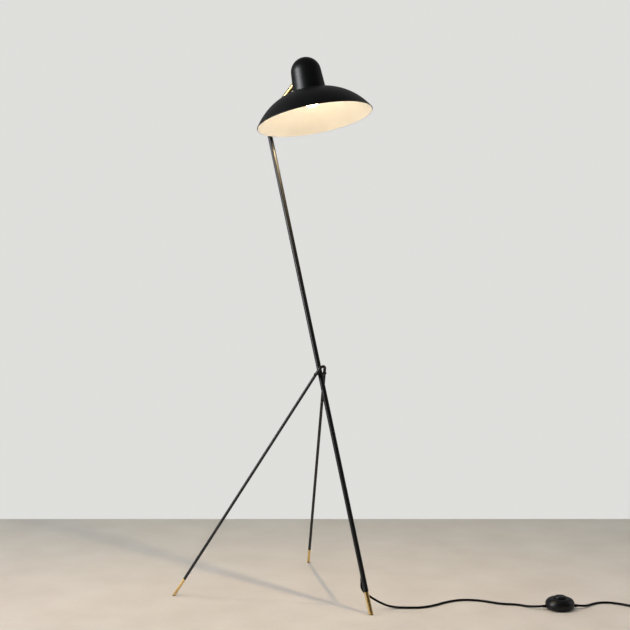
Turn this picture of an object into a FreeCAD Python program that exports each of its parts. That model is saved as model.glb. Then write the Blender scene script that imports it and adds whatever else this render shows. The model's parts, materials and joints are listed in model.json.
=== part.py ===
import FreeCAD, Part
import math
import os
from FreeCAD import Placement, Rotation, Vector

# Tripod floor lamp: a leaning pole with a brass foot, a bent two-leg rod that props it,
# and a spun shade on a short brass arm, with a foot switch on its mains cord.
# Millimetres. +Z is up and the floor is z = 0. The lamp is symmetric about y = 0,
# +X points to the front foot, and the origin is below the middle of the lamp's box.

# ---- Stand ----
FRONT_FOOT_X = 248.53          # where the pole's axis meets the floor
POLE_LEAN = 17.1               # degrees, towards the rear
POLE_R = 6.5
POLE_BORE_R = 5.3
POLE_TOP = 1316.0              # distances along the pole are from the floor, on its axis
FRONT_FERRULE_TOP = 60.0
FRONT_FERRULE_R_TOP = 5.9
FRONT_FERRULE_R_LOW = 6.2
HUB_ALONG_POLE = 643.0         # where the hub screws hold the legs' rod
LEG_R = 4.0
LEG_SPREAD = 255.4             # half the distance between the two rear feet
LEG_REACH = 499.1              # rear feet behind the front foot
LEG_APEX_RISE = 44.8           # from the hub screws to where the straight legs would meet
LEG_BEND_R = 11.0
HUB_SEAT = 18.6                # the flats on the legs where the hub screws' heads bear
HUB_SCREW_R = 2.0
HUB_SPACER_R = 3.2
COUPLER_BORE_R = 3.4
SEAM_BELOW_HUB = 14.0          # where the pole's two lengths meet
REAR_FERRULE_LENGTH = 56.0
REAR_FERRULE_R_TOP = 3.8
REAR_FERRULE_R_LOW = 4.1
PAD_THICKNESS = 1.6
PAD_INSET = 0.5

# ---- Head ----
PIVOT_ALONG_POLE = 1352.0      # tilt axis, on the pole's axis
SHADE_BACK = 210.7             # the head's datum, behind the front foot
SHADE_HEIGHT = 1293.0
SHADE_TILT = 15.0              # degrees
SHADE_R = 155.0
RIM_HEIGHT = -5.5              # heights in the head are along its axis, from the datum
SHEET = 1.2                    # thickness of the spun metal
DISH_MID = (104.3, 47.6)       # a point on the dish's outer arc: radius, height
DISH_TOP = 71.5
DISH_LAND_R = 46.0
NECK_R = 34.0
RIM_BEAD_R = 1.3
DOME_BASE_R = 44.0
DOME_R = 40.3
DOME_TOP = 164.5
ADAPTER_HEIGHT = 113.0         # where the arm enters the dome
BULB_R = 27.0
BULB_CENTRE = 56.0
BULB_CAP_LOW = 97.0
BULB_CAP_R = 12.9
BULB_NECK_R = 11.9
SOCKET_LOW = 95.0
SOCKET_TOP = 134.0
SOCKET_R = 20.0

# ---- Knuckle ----
FORK_HALF_WIDTH = 8.0
FORK_R = 8.0
SLOT_HALF_WIDTH = 4.3
TONGUE_HALF_WIDTH = 3.0
TONGUE_R = 7.6
PIVOT_R = 2.5
RUNNING_GAP = 0.05
ARM_R = 6.5
ARM_BORE_R = 4.9

# ---- Cord and foot switch ----
CORD_R = 3.0
CORD_HEIGHT = CORD_R + 0.05    # its axis where it lies on the floor
SWITCH_FORWARD = 311.2         # its middle, ahead of the front foot
SWITCH_SIDE = 395.5
SWITCH_TURN = 49.0             # degrees; the cord runs through it along this direction
SWITCH_R = 38.5
SWITCH_HEIGHT = 29.0
SWITCH_PORT_HEIGHT = 8.0
BUTTON_R = 15.0
BUTTON_TOP = 35.0
BUTTON_LOW = 18.4
SPRING_LOW = 16.7
SPRING_TOP = BUTTON_TOP - 3.6
COIL_FORWARD = 472.3
COIL_SIDE = 587.1
COIL_INNER_R = 24.0
COIL_OUTER_R = 42.0
COIL_HEIGHT = 4 * CORD_R + 0.1

# The cord's route as (forward of the front foot, to the side, up), chosen by hand.
# The first point is the gland's mouth and the last one is the switch's port.
LAMP_ROUTE = [
    (-34.26, 0.0, 81.55), (-36.1, 0.0, 69.7), (-36.2, 4.5, 58.0), (-33.4, 13.5, 47.5),
    (-28.8, 25.5, 37.5), (-22.5, 40.0, 26.5), (-14.5, 56.0, 15.8), (-5.0, 71.5, 7.8),
    (7.0, 87.0, 3.7), (20.5, 100.0, CORD_HEIGHT), (36.0, 114.0, CORD_HEIGHT),
    (55.0, 134.2, CORD_HEIGHT), (65.8, 170.5, CORD_HEIGHT),
    (66.6, 221.4, CORD_HEIGHT), (78.1, 263.3, CORD_HEIGHT), (105.4, 289.8, CORD_HEIGHT),
    (140.5, 304.4, CORD_HEIGHT), (180.7, 312.7, CORD_HEIGHT), (214.0, 338.9, CORD_HEIGHT),
    (230.5, 342.0, CORD_HEIGHT), (246.4, 344.4, 3.8), (262.2, 346.6, 6.2),
    (273.8, 352.5, 7.6), (280.4, 360.0, SWITCH_PORT_HEIGHT)]
# From the switch's other port to where it joins the coil.
PLUG_ROUTE = [
    (342.0, 431.0, SWITCH_PORT_HEIGHT), (350.0, 440.2, 7.2), (353.4, 458.0, 4.4),
    (350.6, 483.0, CORD_HEIGHT), (355.0, 508.0, CORD_HEIGHT), (371.0, 528.5, CORD_HEIGHT),
    (398.5, 539.0, CORD_HEIGHT),
    (430.4, 544.2, CORD_HEIGHT), (452.9, 544.4, CORD_HEIGHT), (478.4, 547.6, CORD_HEIGHT),
    (500.2, 559.8, CORD_HEIGHT)]
# From the coil's top turn to the plug.
TAIL_ROUTE = [
    (499.5, 615.0, 9.1), (490.2, 625.5, 8.6), (483.7, 637.4, 7.6), (479.3, 650.1, 6.9)]


def at(back, side, up):
    """A point from its distances behind the front foot, to the side and up."""
    return Vector(FRONT_FOOT_X - back, side, up)


def about_y(origin, degrees):
    """A local frame whose z axis is tipped by that angle in the plane of symmetry."""
    return Placement(origin, Rotation(Vector(0, 1, 0), degrees))


POLE_FRAME = about_y(at(0, 0, 0), -POLE_LEAN)
HEAD_FRAME = about_y(at(SHADE_BACK, 0, SHADE_HEIGHT), -SHADE_TILT)
PIVOT = POLE_FRAME.multVec(Vector(0, 0, PIVOT_ALONG_POLE))
HUB = POLE_FRAME.multVec(Vector(0, 0, HUB_ALONG_POLE))


def dome_wall_r(height):
    """The dome's outer radius at a height below its round top."""
    straight = DOME_TOP - DOME_R - DISH_TOP
    return DOME_BASE_R + (DOME_R - DOME_BASE_R) * (height - DISH_TOP) / straight


ARM_END = HEAD_FRAME.multVec(Vector(-dome_wall_r(ADAPTER_HEIGHT), 0, ADAPTER_HEIGHT))
ARM_LENGTH = ARM_END.distanceToPoint(PIVOT)
ARM_RISE = math.degrees(math.atan2(ARM_END.z - PIVOT.z, ARM_END.x - PIVOT.x))
ARM_FRAME = about_y(PIVOT, 90 - ARM_RISE)
FLOOR_BOX = Part.makeBox(1200, 1200, 100, Vector(-600, -600, -100))


# ---- Small builders ----

def placed(shape, frame):
    """A copy of a shape, moved from a local frame into the lamp's frame."""
    moved = shape.copy()
    moved.transformShape(frame.toMatrix())
    return moved


def rod(radius, low, high):
    return Part.makeCylinder(radius, high - low, Vector(0, 0, low))


def tube(outer, inner, low, high):
    return rod(outer, low, high).cut(rod(inner, low, high))


def taper(low_radius, high_radius, low, high):
    return Part.makeCone(low_radius, high_radius, high - low, Vector(0, 0, low))


def across(radius, length, centre):
    """A cylinder along y with its middle at the centre."""
    return Part.makeCylinder(radius, length, centre - Vector(0, length / 2, 0), Vector(0, 1, 0))


def block(centre, size):
    """A box from its middle and its three sizes."""
    corner = centre - Vector(size[0] / 2, size[1] / 2, size[2] / 2)
    return Part.makeBox(size[0], size[1], size[2], corner)


def hexagon(across_flats, low, high):
    """A hexagonal prism along z."""
    radius = across_flats / math.sqrt(3)
    corners = []
    for index in range(7):
        angle = math.radians(60 * index)
        corners.append(Vector(radius * math.cos(angle), radius * math.sin(angle), low))
    return Part.Face(Part.makePolygon(corners)).extrude(Vector(0, 0, high - low))


def profile_point(pair):
    return Vector(pair[0], 0, pair[1])


def line(start, end):
    return Part.LineSegment(profile_point(start), profile_point(end)).toShape()


def arc(start, middle, end):
    return Part.Arc(profile_point(start), profile_point(middle), profile_point(end)).toShape()


def turned(edges):
    """A solid of revolution about z from the edges of a closed half section."""
    face = Part.Face(Part.Wire(edges))
    return face.revolve(Vector(0, 0, 0), Vector(0, 0, 1), 360)


def turned_polygon(pairs):
    edges = []
    for start, end in zip(pairs, pairs[1:] + pairs[:1]):
        edges.append(line(start, end))
    return turned(edges)


def ring_of(shape, count):
    """Copies of a shape, evenly spaced about z."""
    copies = []
    for index in range(count):
        copy = shape.copy()
        copy.rotate(Vector(0, 0, 0), Vector(0, 0, 1), 360 * index / count)
        copies.append(copy)
    return copies


def group(shapes):
    """Separate solids of one node."""
    return Part.makeCompound(shapes)


def smooth_path(points, radii=None):
    """Straight runs joined by tangent arcs: the wire, its length and the arcs' radii."""
    edges = []
    found = []
    start = points[0]
    for index in range(1, len(points) - 1):
        before, corner, after = points[index - 1], points[index], points[index + 1]
        into = (corner - before).normalize()
        out = (after - corner).normalize()
        half_turn = into.getAngle(out) / 2
        shorter = min(before.distanceToPoint(corner), corner.distanceToPoint(after))
        setback = 0.45 * shorter
        radius = setback / math.tan(half_turn)
        if radii:
            radius = radii[index - 1]
            setback = radius * math.tan(half_turn)
        found.append(radius)
        first = corner - into * setback
        last = corner + out * setback
        towards = (out - into).normalize()
        middle = corner + towards * (radius / math.cos(half_turn) - radius)
        edges.append(Part.LineSegment(start, first).toShape())
        edges.append(Part.Arc(first, middle, last).toShape())
        start = last
    edges.append(Part.LineSegment(start, points[-1]).toShape())
    wire = Part.Wire(edges)
    return wire, wire.Length, found


def swept(points, radius, radii=None):
    """A round tube along a smooth path."""
    wire, length, found = smooth_path(points, radii)
    direction = (points[1] - points[0]).normalize()
    circle = Part.Wire(Part.Circle(points[0], direction, radius).toShape())
    solid = wire.makePipeShell([circle], True, True)
    return solid, length, found


def cord(name, route, coil=None):
    """A free stretch of the cord that ends at the coil, its volume compared with its length."""
    points = [Vector(FRONT_FOOT_X + ahead, side, up) for ahead, side, up in route]
    solid, length, radii = swept(points, CORD_R)
    expected = math.pi * CORD_R ** 2 * length
    print("%s: length %.1f, volume ratio %.4f, lowest %.3f, radii %s" % (
        name, length, solid.Volume / expected, solid.optimalBoundingBox(False, False).ZMin,
        " ".join("%.0f" % radius for radius in radii)))
    if coil:
        outside = solid.cut(coil)
        solid = max(outside.Solids, key=lambda piece: piece.Volume)
    return solid


# ---- Stand ----

def front_ferrule():
    """A turned brass foot whose spigot fills the end of the pole."""
    body = taper(FRONT_FERRULE_R_LOW, FRONT_FERRULE_R_TOP, -10, FRONT_FERRULE_TOP)
    spigot = rod(POLE_BORE_R, FRONT_FERRULE_TOP - 1, FRONT_FERRULE_TOP + 25)
    foot = placed(body.fuse(spigot).removeSplitter(), POLE_FRAME)
    return foot.cut(FLOOR_BOX.translated(Vector(0, 0, PAD_THICKNESS)))


def foot_pad_front():
    core = placed(rod(FRONT_FERRULE_R_LOW - PAD_INSET, -10, 10), POLE_FRAME)
    return core.common(block(at(0, 0, PAD_THICKNESS / 2), (60, 60, PAD_THICKNESS)))


GLAND_ALONG_POLE = 106.0
GLAND_LEAN = 26.0              # between the gland's axis and the pole
GLAND_LENGTH = 20.0
INNER_BEND_R = 20.0            # of the cord where it turns from the pole into the gland


def gland_frame():
    """Local z runs from the pole's axis out through the gland, down the pole's underside."""
    origin = POLE_FRAME.multVec(Vector(0, 0, GLAND_ALONG_POLE))
    return about_y(origin, -POLE_LEAN - 180 + GLAND_LEAN)


def lower_pole():
    top = HUB_ALONG_POLE - SEAM_BELOW_HUB
    pole = placed(tube(POLE_R, POLE_BORE_R, FRONT_FERRULE_TOP, top), POLE_FRAME)
    return pole.cut(placed(rod(CORD_R + 0.4, 0, 30), gland_frame()))


def upper_pole():
    low = HUB_ALONG_POLE - SEAM_BELOW_HUB
    pole = placed(tube(POLE_R, POLE_BORE_R, low, POLE_TOP), POLE_FRAME)
    return pole.cut(across(HUB_SCREW_R, 40, HUB))


def pole_coupler():
    """A sleeve inside the pole that joins its two lengths and takes the hub screws."""
    sleeve = tube(POLE_BORE_R, COUPLER_BORE_R, HUB_ALONG_POLE - 42, HUB_ALONG_POLE + 14)
    return placed(sleeve, POLE_FRAME).cut(across(HUB_SCREW_R, 40, HUB))


def leg_geometry():
    """The apex of the two straight legs, the middle of the bend and each leg's direction."""
    middle = at(LEG_REACH, 0, 0)
    down = (middle - HUB).normalize()
    apex = HUB - down * LEG_APEX_RISE
    half_angle = math.atan2(LEG_SPREAD, apex.distanceToPoint(middle))
    bend_centre = apex + down * (LEG_BEND_R / math.sin(half_angle))
    return apex, down, half_angle, bend_centre


def leg_direction(side):
    apex, down, half_angle, bend_centre = leg_geometry()
    return (down * math.cos(half_angle) + Vector(0, side, 0) * math.sin(half_angle)).normalize()


def leg_end(side, from_floor):
    """A point on a leg's axis, that far up the leg from the floor."""
    foot = at(LEG_REACH, side * LEG_SPREAD, 0)
    return foot - leg_direction(side) * from_floor


def v_leg_rod():
    """One steel rod bent into a narrow V around the front of the pole."""
    apex, down, half_angle, bend_centre = leg_geometry()
    tangent = LEG_BEND_R / math.tan(half_angle)
    starts = {side: apex + leg_direction(side) * tangent for side in (-1, 1)}
    left = leg_end(-1, REAR_FERRULE_LENGTH)
    right = leg_end(1, REAR_FERRULE_LENGTH)
    edges = [Part.LineSegment(left, starts[-1]).toShape(),
             Part.Arc(starts[-1], bend_centre - down * LEG_BEND_R, starts[1]).toShape(),
             Part.LineSegment(starts[1], right).toShape()]
    circle = Part.Wire(Part.Circle(left, starts[-1] - left, LEG_R).toShape())
    bent = Part.Wire(edges).makePipeShell([circle], True, True)
    bent = bent.cut(across(HUB_SCREW_R, 40, HUB))
    for side in (-1, 1):
        seat = across(3.8, 4, HUB + Vector(0, side * (HUB_SEAT + 2), 0))
        bent = bent.cut(seat)
    return bent


def hub_spacers():
    """Two sleeves on the hub screws that fill the gaps between the pole and the legs."""
    pole = placed(rod(POLE_R, HUB_ALONG_POLE - 30, HUB_ALONG_POLE + 30), POLE_FRAME)
    legs = v_leg_rod()
    sleeves = []
    for side in (-1, 1):
        sleeve = across(HUB_SPACER_R, HUB_SEAT, HUB + Vector(0, side * HUB_SEAT / 2, 0))
        sleeve = sleeve.cut(pole).cut(legs).cut(across(HUB_SCREW_R, 40, HUB))
        sleeves.append(min(sleeve.Solids, key=lambda piece: abs(piece.CenterOfMass.y)))
    return group(sleeves)


def hub_screws():
    """Two black screws, one through each leg and spacer, threaded into the pole and coupler."""
    screws = []
    for side in (-1, 1):
        length = HUB_SEAT - COUPLER_BORE_R
        middle = side * (HUB_SEAT + COUPLER_BORE_R) / 2
        shank = across(HUB_SCREW_R, length, HUB + Vector(0, middle, 0))
        head = across(3.5, 2.2, HUB + Vector(0, side * (HUB_SEAT + 1.1), 0))
        screws.append(shank.fuse(head).removeSplitter())
    return group(screws)


def rear_ferrule(side):
    """A brass tip that ends a leg; its spigot fills a drilling in the rod's end."""
    tip = leg_end(side, 0)
    along = (leg_end(side, 1) - tip).normalize()
    below = 10
    body = Part.makeCone(REAR_FERRULE_R_LOW, REAR_FERRULE_R_TOP, REAR_FERRULE_LENGTH + below,
                         tip - along * below, along)
    return body.cut(FLOOR_BOX.translated(Vector(0, 0, PAD_THICKNESS)))


def foot_pads_rear():
    pads = []
    for side in (-1, 1):
        tip = leg_end(side, 0)
        along = (leg_end(side, 1) - tip).normalize()
        core = Part.makeCylinder(REAR_FERRULE_R_LOW - PAD_INSET, 20, tip - along * 10, along)
        slab = block(Vector(tip.x, tip.y, PAD_THICKNESS / 2), (60, 60, PAD_THICKNESS))
        pads.append(core.common(slab))
    return group(pads)


# ---- Swivel at the top of the pole ----

SPIGOT_R = 4.0
SPIGOT_LOW = POLE_TOP - 30
SPIGOT_TOP = POLE_TOP + 20
WIRE_BORE_R = 2.4
BARREL_LOW = POLE_TOP + 1.1
GROOVE_HEIGHT = POLE_TOP + 10
GROOVE_R = 3.0
GRUB_R = 1.4
PAN_STOP_HALF_ANGLE = 10.0


def swivel_spigot():
    """A brass plug in the pole whose upper pin carries the fork; its groove holds the screw."""
    plug = rod(POLE_BORE_R, SPIGOT_LOW, POLE_TOP).fuse(rod(SPIGOT_R, POLE_TOP - 1, SPIGOT_TOP))
    groove = tube(SPIGOT_R + 1, GROOVE_R, GROOVE_HEIGHT - 1.8, GROOVE_HEIGHT + 1.8)
    reach = SPIGOT_R + 2
    wedge_half = reach * math.tan(math.radians(PAN_STOP_HALF_ANGLE))
    corners = [Vector(0, 0, GROOVE_HEIGHT - 3), Vector(-reach, -wedge_half, GROOVE_HEIGHT - 3),
               Vector(-reach, wedge_half, GROOVE_HEIGHT - 3), Vector(0, 0, GROOVE_HEIGHT - 3)]
    stop = Part.Face(Part.makePolygon(corners)).extrude(Vector(0, 0, 6))
    pin = plug.cut(groove.cut(stop)).cut(rod(WIRE_BORE_R, POLE_TOP - 40, POLE_TOP + 40))
    return placed(pin, POLE_FRAME)


def swivel_washer():
    return placed(tube(POLE_R - 0.2, SPIGOT_R + 0.1, POLE_TOP, POLE_TOP + 0.7), POLE_FRAME)


def swivel_fork():
    """The brass barrel that turns on the spigot, with two ears for the tilt screw."""
    floor_of_slot = PIVOT_ALONG_POLE - TONGUE_R - 1.2
    barrel = tube(POLE_R, SPIGOT_R + RUNNING_GAP, BARREL_LOW, SPIGOT_TOP + 1)
    web = rod(POLE_R, SPIGOT_TOP + 1, floor_of_slot).cut(rod(WIRE_BORE_R, 0, PIVOT_ALONG_POLE))
    pivot = Vector(0, 0, PIVOT_ALONG_POLE)
    eye = across(FORK_R, 2 * FORK_HALF_WIDTH, pivot)
    neck_height = PIVOT_ALONG_POLE - floor_of_slot + 2
    neck = block(Vector(0, 0, PIVOT_ALONG_POLE - neck_height / 2),
                 (2 * POLE_R, 2 * FORK_HALF_WIDTH, neck_height))
    slot = block(Vector(0, 0, floor_of_slot + 20), (40, 2 * SLOT_HALF_WIDTH, 40))
    fork = barrel.fuse(web).fuse(eye.fuse(neck).cut(slot).cut(rod(WIRE_BORE_R, 0, PIVOT_ALONG_POLE)))
    fork = fork.cut(across(PIVOT_R, 40, pivot))
    grub_hole = Part.makeCylinder(GRUB_R, 20, Vector(0, 0, GROOVE_HEIGHT), Vector(1, 0, 0))
    return placed(fork.cut(grub_hole).removeSplitter(), POLE_FRAME)


def swivel_grub():
    """The grub screw that keeps the fork on and meets the groove's stop."""
    screw = Part.makeCylinder(GRUB_R, 3.0, Vector(GROOVE_R + 0.25, 0, GROOVE_HEIGHT), Vector(1, 0, 0))
    return placed(screw, POLE_FRAME)


def tilt_screw():
    shank = across(PIVOT_R, 2 * FORK_HALF_WIDTH + 1.4, PIVOT + Vector(0, 0.7, 0))
    head = across(4.2, 1.6, PIVOT - Vector(0, FORK_HALF_WIDTH + 0.8, 0))
    return shank.fuse(head)


def tilt_nut():
    nut = across(4.2, 1.6, PIVOT + Vector(0, FORK_HALF_WIDTH + 0.8, 0))
    return nut.cut(across(PIVOT_R, 2 * FORK_HALF_WIDTH + 1.4, PIVOT + Vector(0, 0.7, 0)))


# ---- Arm ----

ARM_SHOULDER = 15.0            # from the pivot to the end of the arm's tube
ADAPTER_LENGTH = 16.0


def tilt_tongue():
    """The eye between the fork's ears, with a spigot in the arm's tube."""
    eye = across(TONGUE_R, 2 * TONGUE_HALF_WIDTH, Vector(0, 0, 0))
    neck = block(Vector(0, 0, 6), (2 * TONGUE_R - 2, 2 * TONGUE_HALF_WIDTH, 12))
    collar = rod(ARM_R, 10.5, ARM_SHOULDER)
    spigot = rod(ARM_BORE_R, ARM_SHOULDER - 1, ARM_SHOULDER + 16)
    tongue = eye.fuse(neck).fuse(collar).fuse(spigot).removeSplitter()
    tongue = tongue.cut(across(PIVOT_R + RUNNING_GAP, 40, Vector(0, 0, 0)))
    tongue = tongue.cut(rod(1.8, 5.0, 60))
    return placed(tongue, ARM_FRAME)


def friction_washers():
    washers = []
    for side in (-1, 1):
        centre = Vector(0, side * (TONGUE_HALF_WIDTH + 0.5), 0)
        disc = across(6.6, 1.0, centre)
        washers.append(placed(disc.cut(across(PIVOT_R + RUNNING_GAP, 40, Vector(0, 0, 0))), ARM_FRAME))
    return group(washers)


def arm_tube():
    return placed(tube(ARM_R, ARM_BORE_R, ARM_SHOULDER, ARM_LENGTH - ADAPTER_LENGTH), ARM_FRAME)


def inward(radius, from_r, to_r):
    """A cylinder through the dome's wall at the adapter, towards the dome's axis."""
    start = Vector(-from_r, 0, ADAPTER_HEIGHT)
    return Part.makeCylinder(radius, from_r - to_r, start, Vector(1, 0, 0))


def dome_adapter():
    """The brass end of the arm: cut to the dome's wall, with a threaded nipple through it."""
    body = placed(rod(ARM_R, ARM_LENGTH - ADAPTER_LENGTH, ARM_LENGTH + 12), ARM_FRAME)
    body = body.cut(placed(dome_solid(0), HEAD_FRAME))
    body = max(body.Solids, key=lambda solid: solid.Volume)
    spigot = placed(rod(ARM_BORE_R, ARM_LENGTH - ADAPTER_LENGTH - 12, ARM_LENGTH - ADAPTER_LENGTH + 1),
                    ARM_FRAME)
    nipple = placed(inward(5.0, dome_wall_r(ADAPTER_HEIGHT) + 2, 25), HEAD_FRAME)
    whole = body.fuse(spigot).fuse(nipple).removeSplitter()
    bore = placed(rod(WIRE_BORE_R, 0, ARM_LENGTH + 1), ARM_FRAME)
    bore = bore.fuse(placed(inward(WIRE_BORE_R, dome_wall_r(ADAPTER_HEIGHT) + 1, 20), HEAD_FRAME))
    return whole.cut(bore)


BRACKET_R = 33.1               # the strap's outer face, from the dome's axis
BRACKET_SHEET = 1.5
BRACKET_HALF_WIDTH = 8.0
BRACKET_TOP = SOCKET_TOP + BRACKET_SHEET


def adapter_spacer():
    """A saddle between the dome's wall and the strap."""
    body = inward(8.0, dome_wall_r(ADAPTER_HEIGHT) + 2, BRACKET_R).cut(inward(5.0, 60, 20))
    return placed(body.common(dome_solid(SHEET)), HEAD_FRAME)


def adapter_nut():
    nut = hexagon(14, 0, 5).cut(rod(5.0, 0, 5))
    turn = Placement(Vector(BRACKET_SHEET - BRACKET_R, 0, ADAPTER_HEIGHT), Rotation(Vector(0, 1, 0), 90))
    return placed(placed(nut, turn), HEAD_FRAME)


# ---- Shade ----

def dome_solid(inset):
    """The dome's outer form made smaller by the inset, and solid."""
    equator = DOME_TOP - DOME_R
    top = DOME_R - inset
    slope = math.radians(45)
    edges = [line((0, DISH_TOP), (DOME_BASE_R - inset, DISH_TOP)),
             line((DOME_BASE_R - inset, DISH_TOP), (top, equator)),
             arc((top, equator), (top * math.cos(slope), equator + top * math.sin(slope)),
                 (0, equator + top)),
             line((0, equator + top), (0, DISH_TOP))]
    return turned(edges)


SHADE_SCREW_R = 38.0
SHADE_SCREW_COUNT = 3


def shade_screw_holes(radius, low, high):
    hole = Part.makeCylinder(radius, high - low, Vector(SHADE_SCREW_R, 0, low))
    return group(ring_of(hole, SHADE_SCREW_COUNT))


def dome():
    """The round-topped cover of the lamp holder, with an in-turned flange at its foot."""
    shell = dome_solid(0).cut(dome_solid(SHEET))
    flange = tube(DOME_BASE_R - SHEET / 2, NECK_R, DISH_TOP, DISH_TOP + SHEET)
    shell = shell.fuse(flange).removeSplitter()
    shell = shell.cut(inward(5.0, 60, 20))
    return placed(shell.cut(shade_screw_holes(1.5, DISH_TOP - 5, DISH_TOP + 5)), HEAD_FRAME)


def dish_arc(inset):
    """Start, middle and end of the dish's section, inset from its outer face."""
    points = [Vector(SHADE_R, 0, RIM_HEIGHT), profile_point(DISH_MID), Vector(DISH_LAND_R, 0, DISH_TOP)]
    centre = Part.Arc(points[0], points[1], points[2]).toShape().Curve.Center
    moved = []
    for point in points:
        towards = (point - centre).normalize()
        moved.append(point - towards * inset)
    return [(point.x, point.z) for point in moved]


def shade_dish():
    """The spun dish: one wide arc, a flat land under the dome and a beaded rim."""
    outer = dish_arc(0)
    inner = dish_arc(SHEET)
    inner[2] = (inner[2][0], DISH_TOP - SHEET)
    edges = [arc(outer[0], outer[1], outer[2]), line(outer[2], (NECK_R, DISH_TOP)),
             line((NECK_R, DISH_TOP), (NECK_R, DISH_TOP - SHEET)),
             line((NECK_R, DISH_TOP - SHEET), inner[2]), arc(inner[2], inner[1], inner[0]),
             line(inner[0], outer[0])]
    bead = Part.makeTorus(SHADE_R - RIM_BEAD_R, RIM_BEAD_R, Vector(0, 0, RIM_HEIGHT + 0.6))
    dish = turned(edges).fuse(bead).removeSplitter()
    return placed(dish.cut(shade_screw_holes(1.6, DISH_TOP - 5, DISH_TOP + 5)), HEAD_FRAME)


RING_LOW = DISH_TOP - SHEET - 3.0


def shade_ring():
    """The ring inside the dish that clamps it to the dome's flange."""
    ring = tube(42.0, NECK_R, RING_LOW, DISH_TOP - SHEET)
    return placed(ring.cut(shade_screw_holes(1.6, RING_LOW - 1, DISH_TOP + 5)), HEAD_FRAME)


def shade_screws():
    shank = rod(1.5, RING_LOW, DISH_TOP + SHEET + 1).translated(Vector(SHADE_SCREW_R, 0, 0))
    head = rod(2.8, RING_LOW - 1.8, RING_LOW).translated(Vector(SHADE_SCREW_R, 0, 0))
    return placed(group(ring_of(shank.fuse(head), SHADE_SCREW_COUNT)), HEAD_FRAME)


# ---- Lamp holder and bulb ----

def socket_bracket():
    """A bent strap from the arm's nipple to the top of the lamp holder."""
    low = ADAPTER_HEIGHT - 9
    upright = block(Vector(-BRACKET_R + BRACKET_SHEET / 2, 0, (low + BRACKET_TOP) / 2),
                    (BRACKET_SHEET, 2 * BRACKET_HALF_WIDTH, BRACKET_TOP - low))
    reach = BRACKET_R + BRACKET_HALF_WIDTH
    shelf = block(Vector(-BRACKET_R + reach / 2, 0, BRACKET_TOP - BRACKET_SHEET / 2),
                  (reach, 2 * BRACKET_HALF_WIDTH, BRACKET_SHEET))
    strap = upright.fuse(shelf).removeSplitter()
    strap = strap.cut(inward(5.0, 60, 20)).cut(rod(5.0, SOCKET_TOP - 5, SOCKET_TOP + 10))
    return placed(strap, HEAD_FRAME)


def socket_body():
    """The insulating body of the lamp holder, with a threaded stem at its top."""
    body = rod(SOCKET_R, SOCKET_LOW, SOCKET_TOP).fuse(rod(5.0, SOCKET_TOP - 1, SOCKET_TOP + 7))
    body = body.cut(rod(14.6, SOCKET_LOW - 1, 122.5))
    return placed(body.cut(rod(4.2, 120, 126.5)).removeSplitter(), HEAD_FRAME)


def socket_shell():
    """The threaded sleeve that the bulb's cap screws into."""
    return placed(tube(14.6, 13.6, 100, 122), HEAD_FRAME)


def socket_contact():
    """The springy centre contact."""
    stem = rod(2.0, 123.4, 126.5)
    disc = rod(4.2, 122.5, 123.4)
    return placed(stem.fuse(disc), HEAD_FRAME)


def socket_nut():
    return placed(hexagon(14, BRACKET_TOP, BRACKET_TOP + 4).cut(rod(5.0, 130, 150)), HEAD_FRAME)


def bulb_outline(inset):
    """The glass envelope's section: a globe that flows into a narrow neck."""
    radius = BULB_R - inset
    shoulder = math.radians(42)
    globe_end = (radius * math.cos(shoulder), BULB_CENTRE + radius * math.sin(shoulder))
    neck = (BULB_NECK_R - inset, BULB_CAP_LOW)
    top = BULB_CAP_LOW + 6
    bend = ((globe_end[0] + neck[0]) / 2 - 0.8, (globe_end[1] + neck[1]) / 2)
    return [line((0, BULB_CENTRE - radius), (0, top)), line((0, top), (neck[0], top)),
            line((neck[0], top), neck), arc(neck, bend, globe_end),
            arc(globe_end, (radius, BULB_CENTRE), (0, BULB_CENTRE - radius))]


def bulb_glass():
    return placed(turned(bulb_outline(0)).cut(turned(bulb_outline(0.8))), HEAD_FRAME)


def bulb_cap():
    """The screw cap: a sleeve with a round thread's crests as shallow beads."""
    sleeve = tube(BULB_CAP_R - 0.3, BULB_CAP_R - 0.9, BULB_CAP_LOW, 119)
    beads = []
    for index in range(5):
        beads.append(Part.makeTorus(BULB_CAP_R - 0.5, 0.5, Vector(0, 0, BULB_CAP_LOW + 6 + 3.2 * index)))
    crown = taper(BULB_CAP_R - 0.3, 5.5, 119, 121)
    whole = sleeve.fuse(beads).fuse(crown).removeSplitter()
    return placed(whole, HEAD_FRAME)


def bulb_contact():
    return placed(rod(5.0, 121.0, 122.5), HEAD_FRAME)


def bulb_lamp_post():
    """The glass stem inside the bulb, with four upright light filaments around it."""
    stem = taper(3.0, 6.0, 66, BULB_CAP_LOW + 5)
    filament = rod(0.8, 42, 76).translated(Vector(7.5, 0, 0))
    hub_disc = rod(8.4, 40.5, 42)
    post = rod(1.0, 42, 66)
    solids = stem.fuse(post).fuse(hub_disc).fuse(ring_of(filament, 4))
    crown = tube(8.4, 2.5, 76, 77).fuse(tube(4.8, 2.5, 76, 77))
    return placed(solids.fuse(crown).removeSplitter(), HEAD_FRAME)


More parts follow.
